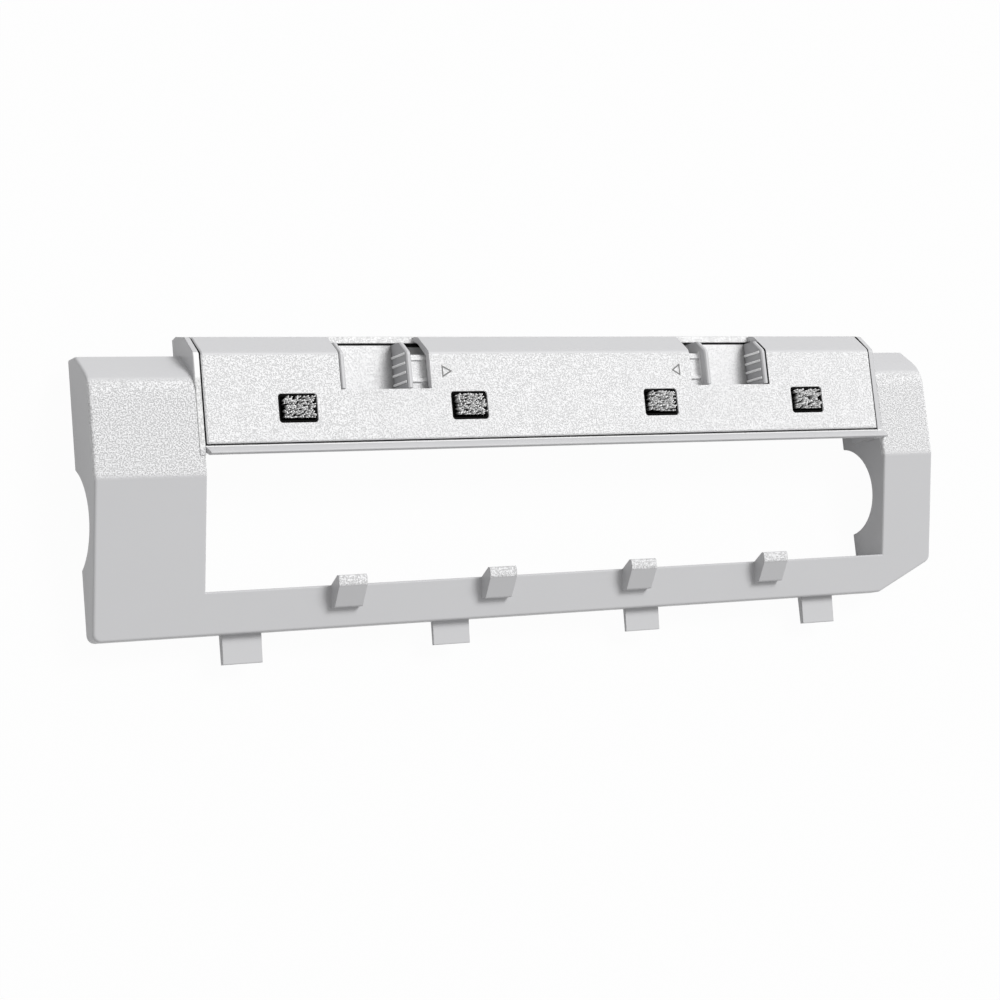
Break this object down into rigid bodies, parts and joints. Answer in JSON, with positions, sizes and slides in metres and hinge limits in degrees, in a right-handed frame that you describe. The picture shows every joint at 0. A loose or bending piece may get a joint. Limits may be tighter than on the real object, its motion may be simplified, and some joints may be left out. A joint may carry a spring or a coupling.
{
  "type": "brush cover",
  "caption": "Frame for a robot vacuum's main brush with a long window, tabs and teeth on one side and two sprung finger latches on the other.",
  "frame": {"origin": "middle of the bounding box on the surface the cover lies on, back down", "axes": "+X along the cover, +Y from the tabs to the latches, +Z out of the outer face"},
  "size_m": [0.225, 0.072, 0.0176],
  "materials": {
    "light_plastic": "fine spark-eroded grain on the upper faces, smooth satin elsewhere",
    "black_plastic": "matt",
    "bristle": "nylon bristle",
    "steel": "plain"
  },
  "bodies": {
    "cover": {"frame": "light_plastic", "panel": "light_plastic", "left_spring": "steel", "right_spring": "steel", "bristle_cup_1": "black_plastic", "bristle_cup_2": "black_plastic", "bristle_cup_3": "black_plastic", "bristle_cup_4": "black_plastic", "bristles_1": "bristle", "bristles_2": "bristle", "bristles_3": "bristle", "bristles_4": "bristle", "panel_screws": "steel"},
    "left_slide": {"left_latch": "light_plastic"},
    "right_slide": {"right_latch": "light_plastic"}
  },
  "joints": [
    {"name": "left_latch_slide", "type": "slide", "parent": "cover", "child": "left_slide", "axis": [1, 0, 0], "range_m": [0, 0.004], "stiffness_N_per_m": 200, "springref_m": -0.002, "deforming": ["left_spring"]},
    {"name": "right_latch_slide", "type": "slide", "parent": "cover", "child": "right_slide", "axis": [-1, 0, 0], "range_m": [0, 0.004], "stiffness_N_per_m": 200, "springref_m": -0.002, "deforming": ["right_spring"]}
  ]
}
